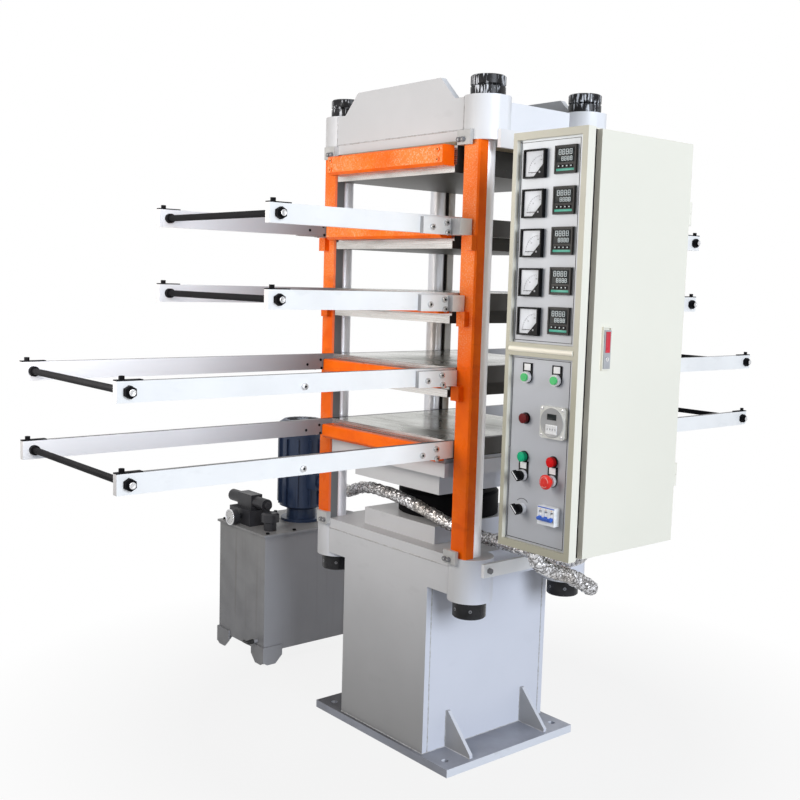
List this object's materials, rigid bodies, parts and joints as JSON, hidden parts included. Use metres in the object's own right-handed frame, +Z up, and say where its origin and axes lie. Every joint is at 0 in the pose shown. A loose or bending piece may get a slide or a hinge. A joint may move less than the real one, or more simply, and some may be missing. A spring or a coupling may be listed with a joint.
{
  "type": "rubber vulcanizing press",
  "caption": "Upstroke column press with stacked heated platens, tray rails front and rear, a side control cabinet and a separate hydraulic power unit.",
  "frame": {"origin": "centre of the base plate's underside, on the floor", "axes": "+Z up, -Y towards the operator, +X towards the control cabinet"},
  "size_m": [1.996, 2.558, 2.04],
  "materials": {
    "base_paint": "satin",
    "frame_paint": "satin",
    "column_steel": "ground",
    "black_steel": "gloss black oxide",
    "orange_paint": "semi-gloss",
    "tab_steel": "satin",
    "insulation": "matt board",
    "platen_steel": "machined",
    "ram_chrome": "polished",
    "rail_paint": "satin white",
    "cabinet_paint": "fine texture powder coat",
    "panel_grey": "satin",
    "chrome_trim": "polished",
    "instrument_black": "moulded",
    "controller_plastic": "moulded",
    "timer_plastic": "moulded",
    "lamp_lens": "moulded lens",
    "button_green": "moulded",
    "stop_red": "moulded",
    "breaker_white": "moulded",
    "breaker_blue": "moulded",
    "tank_paint": "satin grey",
    "motor_paint": "satin blue",
    "valve_steel": "black oxide",
    "conduit_wrap": "crinkled foil sleeve"
  },
  "bodies": {
    "frame": {"base_plate": "base_paint", "pedestal_plates": "frame_paint", "column_bosses": "frame_paint", "upper_beam": "frame_paint", "cylinder_barrel": "frame_paint", "tie_columns": "column_steel", "column_nuts": "black_steel", "cylinder_gland": "black_steel", "guide_posts": "orange_paint", "hanger_steps": "orange_paint", "cover_top": "orange_paint", "post_tabs": "tab_steel", "insulation_board": "insulation", "platen_top": "platen_steel", "cabinet_brackets": "rail_paint", "cabinet_shell": "cabinet_paint", "cabinet_panels": "panel_grey", "component_plate": "panel_grey", "switch_collars": "chrome_trim", "ammeter_cases": "instrument_black", "controller_cases": "controller_plastic", "timer_case": "timer_plastic", "pilot_lamps": "lamp_lens", "breaker_body": "breaker_white", "oil_tank": "tank_paint", "pump_motor": "motor_paint", "valve_block": "valve_steel", "wiring_conduit": "conduit_wrap", "supply_tail": "conduit_wrap"},
    "table": {"ram": "ram_chrome", "moving_table": "frame_paint", "platen_bottom": "platen_steel", "cover_bottom": "orange_paint", "rails_bottom": "rail_paint", "rods_bottom": "black_steel"},
    "lower_tier": {"platen_lower": "platen_steel", "cover_lower": "orange_paint", "rails_lower": "rail_paint", "rods_lower": "black_steel"},
    "middle_tier": {"platen_middle": "platen_steel", "cover_middle": "orange_paint", "rails_middle": "rail_paint", "rods_middle": "black_steel"},
    "upper_tier": {"platen_upper": "platen_steel", "cover_upper": "orange_paint", "rails_upper": "rail_paint", "rods_upper": "black_steel"},
    "door": {"cabinet_door": "cabinet_paint"},
    "handle": {"door_handle": "chrome_trim"},
    "close_push": {"close_button": "button_green"},
    "open_push": {"open_button": "button_green"},
    "mode_knob": {"mode_selector": "instrument_black"},
    "power_knob": {"power_selector": "instrument_black"},
    "stop_push": {"stop_button": "stop_red"},
    "breaker_toggle": {"breaker_lever": "breaker_blue"},
    "pointer_1": {"needle_1": "instrument_black"},
    "pointer_2": {"needle_2": "instrument_black"},
    "pointer_3": {"needle_3": "instrument_black"},
    "pointer_4": {"needle_4": "instrument_black"},
    "pointer_5": {"needle_5": "instrument_black"}
  },
  "joints": [
    {"name": "ram_lift", "type": "slide", "parent": "frame", "child": "table", "axis": [0, 0, 1], "range_m": [0, 0.498]},
    {"name": "lower_tier_lift", "type": "slide", "parent": "frame", "child": "lower_tier", "axis": [0, 0, 1], "range_m": [0, 0.3735]},
    {"name": "middle_tier_lift", "type": "slide", "parent": "frame", "child": "middle_tier", "axis": [0, 0, 1], "range_m": [0, 0.249]},
    {"name": "upper_tier_lift", "type": "slide", "parent": "frame", "child": "upper_tier", "axis": [0, 0, 1], "range_m": [0, 0.1245]},
    {"name": "door_hinge", "type": "hinge", "parent": "frame", "child": "door", "pos_m": [0.858, 0.017, 1.312], "axis": [0, 0, 1], "range_deg": [0, 100]},
    {"name": "handle_flip", "type": "hinge", "parent": "door", "child": "handle", "pos_m": [0.87, -0.304, 1.354], "axis": [0, -1, 0], "range_deg": [0, 60]},
    {"name": "close_press", "type": "slide", "parent": "frame", "child": "close_push", "axis": [0, 1, 0], "range_m": [0, 0.004], "stiffness_N_per_m": 800},
    {"name": "open_press", "type": "slide", "parent": "frame", "child": "open_push", "axis": [0, 1, 0], "range_m": [0, 0.004], "stiffness_N_per_m": 800},
    {"name": "mode_turn", "type": "hinge", "parent": "frame", "child": "mode_knob", "pos_m": [0.691, -0.4, 0.98], "axis": [0, 1, 0], "range_deg": [0, 90]},
    {"name": "power_turn", "type": "hinge", "parent": "frame", "child": "power_knob", "pos_m": [0.691, -0.4, 0.894], "axis": [0, 1, 0], "range_deg": [0, 90]},
    {"name": "stop_press", "type": "slide", "parent": "frame", "child": "stop_push", "axis": [0, 1, 0], "range_m": [0, 0.005]},
    {"name": "breaker_throw", "type": "hinge", "parent": "frame", "child": "breaker_toggle", "pos_m": [0.789, -0.395, 0.894], "axis": [-1, 0, 0], "range_deg": [0, 50]},
    {"name": "pointer_swing_1", "type": "hinge", "parent": "frame", "child": "pointer_1", "pos_m": [0.712, -0.393, 1.735], "axis": [0, 1, 0], "range_deg": [0, 90], "stiffness_Nm_per_rad": 0.0005},
    {"name": "pointer_swing_2", "type": "hinge", "parent": "frame", "child": "pointer_2", "pos_m": [0.712, -0.393, 1.6385], "axis": [0, 1, 0], "range_deg": [0, 90], "stiffness_Nm_per_rad": 0.0005},
    {"name": "pointer_swing_3", "type": "hinge", "parent": "frame", "child": "pointer_3", "pos_m": [0.712, -0.393, 1.542], "axis": [0, 1, 0], "range_deg": [0, 90], "stiffness_Nm_per_rad": 0.0005},
    {"name": "pointer_swing_4", "type": "hinge", "parent": "frame", "child": "pointer_4", "pos_m": [0.712, -0.393, 1.4455], "axis": [0, 1, 0], "range_deg": [0, 90], "stiffness_Nm_per_rad": 0.0005},
    {"name": "pointer_swing_5", "type": "hinge", "parent": "frame", "child": "pointer_5", "pos_m": [0.712, -0.393, 1.349], "axis": [0, 1, 0], "range_deg": [0, 90], "stiffness_Nm_per_rad": 0.0005}
  ],
  "couplings": [
    {"joint": "lower_tier_lift", "follows": "ram_lift", "ratio": 0.75},
    {"joint": "middle_tier_lift", "follows": "ram_lift", "ratio": 0.5},
    {"joint": "upper_tier_lift", "follows": "ram_lift", "ratio": 0.25}
  ]
}
